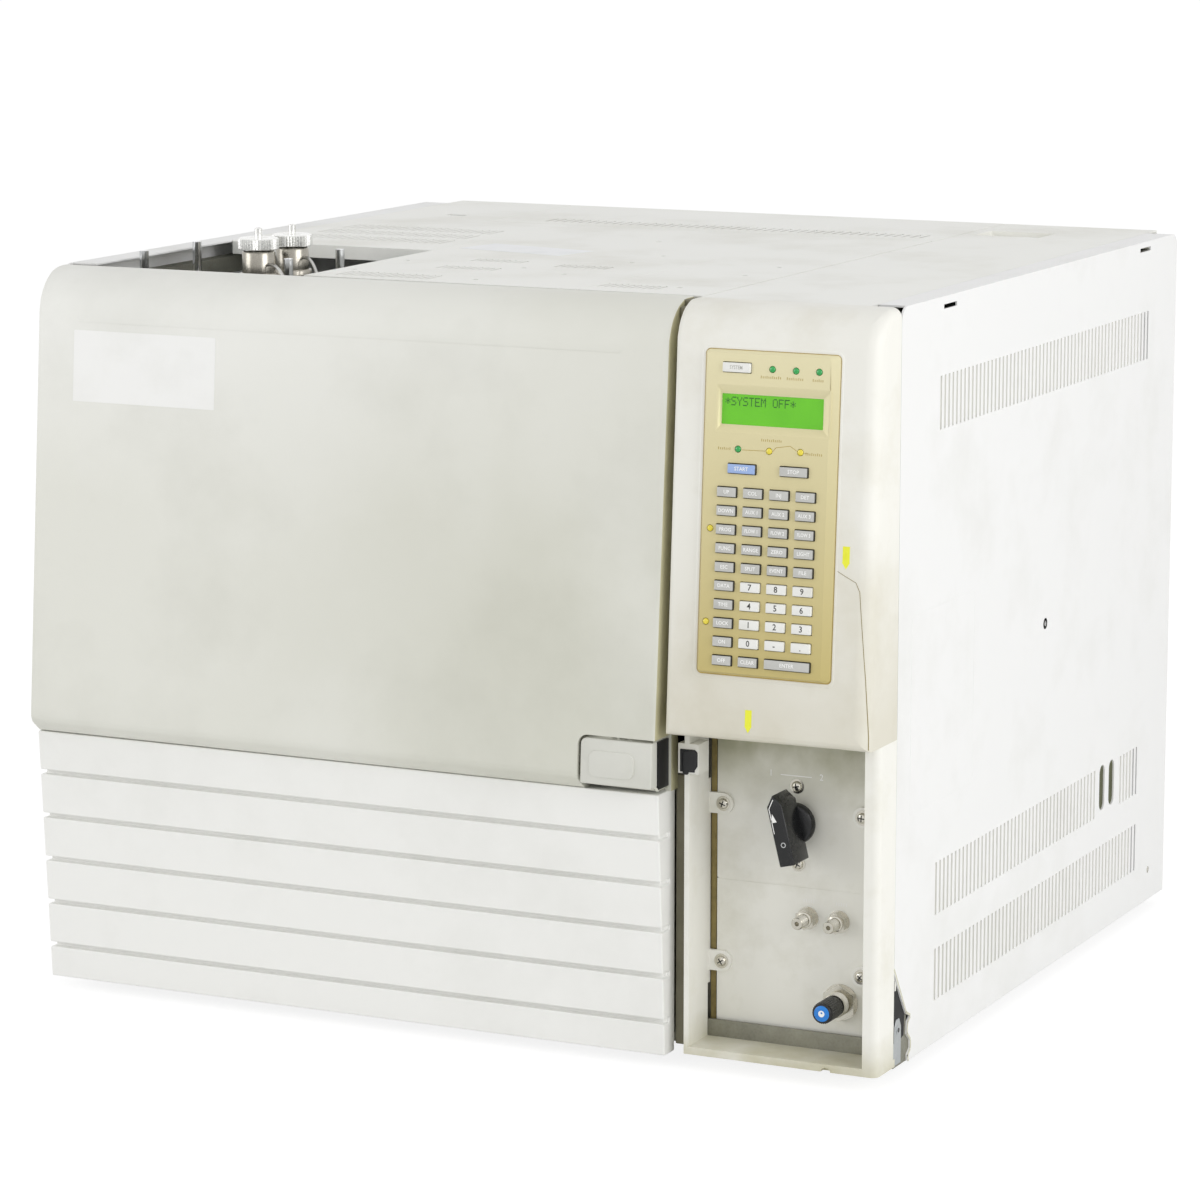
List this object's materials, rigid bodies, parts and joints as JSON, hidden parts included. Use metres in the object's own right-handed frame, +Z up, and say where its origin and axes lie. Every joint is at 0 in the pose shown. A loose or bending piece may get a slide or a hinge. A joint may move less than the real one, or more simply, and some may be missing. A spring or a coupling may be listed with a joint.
{
  "type": "bench gas chromatograph",
  "caption": "Bench gas chromatograph with a hinged oven door, leaning gold keypad, recessed valve bay and an open injector well in its top.",
  "frame": {"origin": "centre of the footprint on the bench, under the rubber feet", "axes": "+Z up; the front with the oven door and the keypad faces -Y; +X is to the right of a user who faces the front"},
  "size_m": [0.54, 0.5342, 0.4575],
  "materials": {
    "cover_paint": "satin light grey-cream enamel",
    "side_paint": "satin off-white enamel",
    "door_plastic": "fine grain moulded",
    "column_plastic": "fine grain moulded, slightly yellowed",
    "panel_gold": "satin champagne-gold",
    "zinc_sheet": "zinc-plated sheet",
    "stainless": "brushed stainless",
    "dark_sheet": "dark grey",
    "bright_steel": "polished",
    "aluminium": "turned",
    "brass": "turned",
    "black_plastic": "matt black",
    "black_rubber": "moulded rubber",
    "key_grey": "moulded keys",
    "key_white": "moulded keys",
    "key_blue": "moulded key",
    "board_green": "solder resist",
    "lamp_lens": "tinted lens",
    "insulation": "ceramic fibre board",
    "silica_tube": "polymer-coated fused silica",
    "heater_wire": "oxidised resistance wire"
  },
  "bodies": {
    "cabinet": {"base_pan": "zinc_sheet", "rubber_feet": "black_rubber", "left_side_panel": "side_paint", "right_side_panel": "side_paint", "rear_panel": "cover_paint", "chassis_frame": "zinc_sheet", "hinge_pins": "bright_steel", "centre_cover": "cover_paint", "detector_cover": "cover_paint", "rear_left_cover": "cover_paint", "rear_centre_cover": "cover_paint", "right_top_cover": "cover_paint", "oven_casing": "zinc_sheet", "oven_insulation": "insulation", "oven_liner": "stainless", "fan_motor": "dark_sheet", "fan_baffle": "stainless", "heater_coil": "heater_wire", "capillary_column": "silica_tube", "flap_motor": "dark_sheet", "injector_bodies": "aluminium", "lid_studs": "bright_steel", "detectors": "aluminium", "fan_frame": "black_plastic", "power_supply": "zinc_sheet", "main_board": "board_green", "mains_inlet": "black_plastic", "gas_bulkheads": "brass", "keypad_housing": "column_plastic", "keypad_panel": "panel_gold", "display_board": "board_green", "status_lamps": "lamp_lens", "bay_frame": "column_plastic", "valve_panel": "cover_paint", "selector_valve": "stainless", "valve_fittings": "bright_steel", "panel_screws": "bright_steel", "latch_keeper": "black_plastic"},
    "door": {"door_upper_cover": "door_plastic", "door_lower_cover": "door_plastic", "door_pan": "dark_sheet", "door_insulation": "insulation", "door_liner": "stainless", "latch_body": "black_plastic"},
    "handle": {"door_handle": "column_plastic"},
    "oven_fan": {"fan_wheel": "stainless"},
    "vent_flaps": {"oven_vent_flaps": "zinc_sheet"},
    "front_cap": {"septum_cap_front": "aluminium"},
    "rear_cap": {"septum_cap_rear": "aluminium"},
    "cooling_fan": {"electronics_fan": "black_plastic"},
    "rocker": {"power_switch": "black_plastic"},
    "selector": {"selector_knob": "black_plastic"},
    "needle_knob": {"flow_knob": "black_plastic"},
    "system_button": {"system_key": "key_white"},
    "start_button": {"start_key": "key_blue"},
    "stop_button": {"stop_key": "key_grey"},
    "function_pad": {"function_keys": "key_grey"},
    "number_pad": {"number_keys": "key_white"},
    "command_pad": {"command_keys": "key_grey"},
    "enter_button": {"enter_key": "key_grey"}
  },
  "joints": [
    {"name": "door_hinge", "type": "hinge", "parent": "cabinet", "child": "door", "pos_m": [-0.264, -0.226, 0.22], "axis": [0, 0, -1], "range_deg": [0, 110]},
    {"name": "handle_pivot", "type": "hinge", "parent": "door", "child": "handle", "pos_m": [0.1015, -0.252, 0.179], "axis": [0, 0, -1], "range_deg": [0, 25], "stiffness_Nm_per_rad": 0.3},
    {"name": "oven_fan_shaft", "type": "hinge", "parent": "cabinet", "child": "oven_fan", "pos_m": [-0.065, -0.05, 0.219], "axis": [0, 1, 0], "continuous": true},
    {"name": "flap_shaft", "type": "hinge", "parent": "cabinet", "child": "vent_flaps", "pos_m": [-0.06, 0.028, 0.356], "axis": [1, 0, 0], "range_deg": [0, 60]},
    {"name": "front_cap_thread", "type": "hinge", "parent": "cabinet", "child": "front_cap", "pos_m": [-0.186, -0.129, 0.446], "axis": [0, 0, 1], "continuous": true},
    {"name": "rear_cap_thread", "type": "hinge", "parent": "cabinet", "child": "rear_cap", "pos_m": [-0.179, -0.1, 0.446], "axis": [0, 0, 1], "continuous": true},
    {"name": "cooling_fan_shaft", "type": "hinge", "parent": "cabinet", "child": "cooling_fan", "pos_m": [0.205, 0.24, 0.33], "axis": [0, 1, 0], "continuous": true},
    {"name": "rocker_pivot", "type": "hinge", "parent": "cabinet", "child": "rocker", "pos_m": [0.224, 0.248, 0.041], "axis": [-1, 0, 0], "range_deg": [0, 14]},
    {"name": "selector_shaft", "type": "hinge", "parent": "cabinet", "child": "selector", "pos_m": [0.208, -0.23, 0.1425], "axis": [0, 1, 0], "range_deg": [-45, 45]},
    {"name": "needle_shaft", "type": "hinge", "parent": "cabinet", "child": "needle_knob", "pos_m": [0.2355, -0.23, 0.0425], "axis": [0, 1, 0], "continuous": true},
    {"name": "system_button_travel", "type": "slide", "parent": "cabinet", "child": "system_button", "axis": [0, 0.998, -0.0635], "range_m": [0, 0.001], "stiffness_N_per_m": 500},
    {"name": "start_button_travel", "type": "slide", "parent": "cabinet", "child": "start_button", "axis": [0, 0.998, -0.0635], "range_m": [0, 0.001], "stiffness_N_per_m": 500},
    {"name": "stop_button_travel", "type": "slide", "parent": "cabinet", "child": "stop_button", "axis": [0, 0.998, -0.0635], "range_m": [0, 0.001], "stiffness_N_per_m": 500},
    {"name": "function_pad_travel", "type": "slide", "parent": "cabinet", "child": "function_pad", "axis": [0, 0.998, -0.0635], "range_m": [0, 0.001], "stiffness_N_per_m": 500},
    {"name": "number_pad_travel", "type": "slide", "parent": "cabinet", "child": "number_pad", "axis": [0, 0.998, -0.0635], "range_m": [0, 0.001], "stiffness_N_per_m": 500},
    {"name": "command_pad_travel", "type": "slide", "parent": "cabinet", "child": "command_pad", "axis": [0, 0.998, -0.0635], "range_m": [0, 0.001], "stiffness_N_per_m": 500},
    {"name": "enter_button_travel", "type": "slide", "parent": "cabinet", "child": "enter_button", "axis": [0, 0.998, -0.0635], "range_m": [0, 0.001], "stiffness_N_per_m": 500}
  ]
}
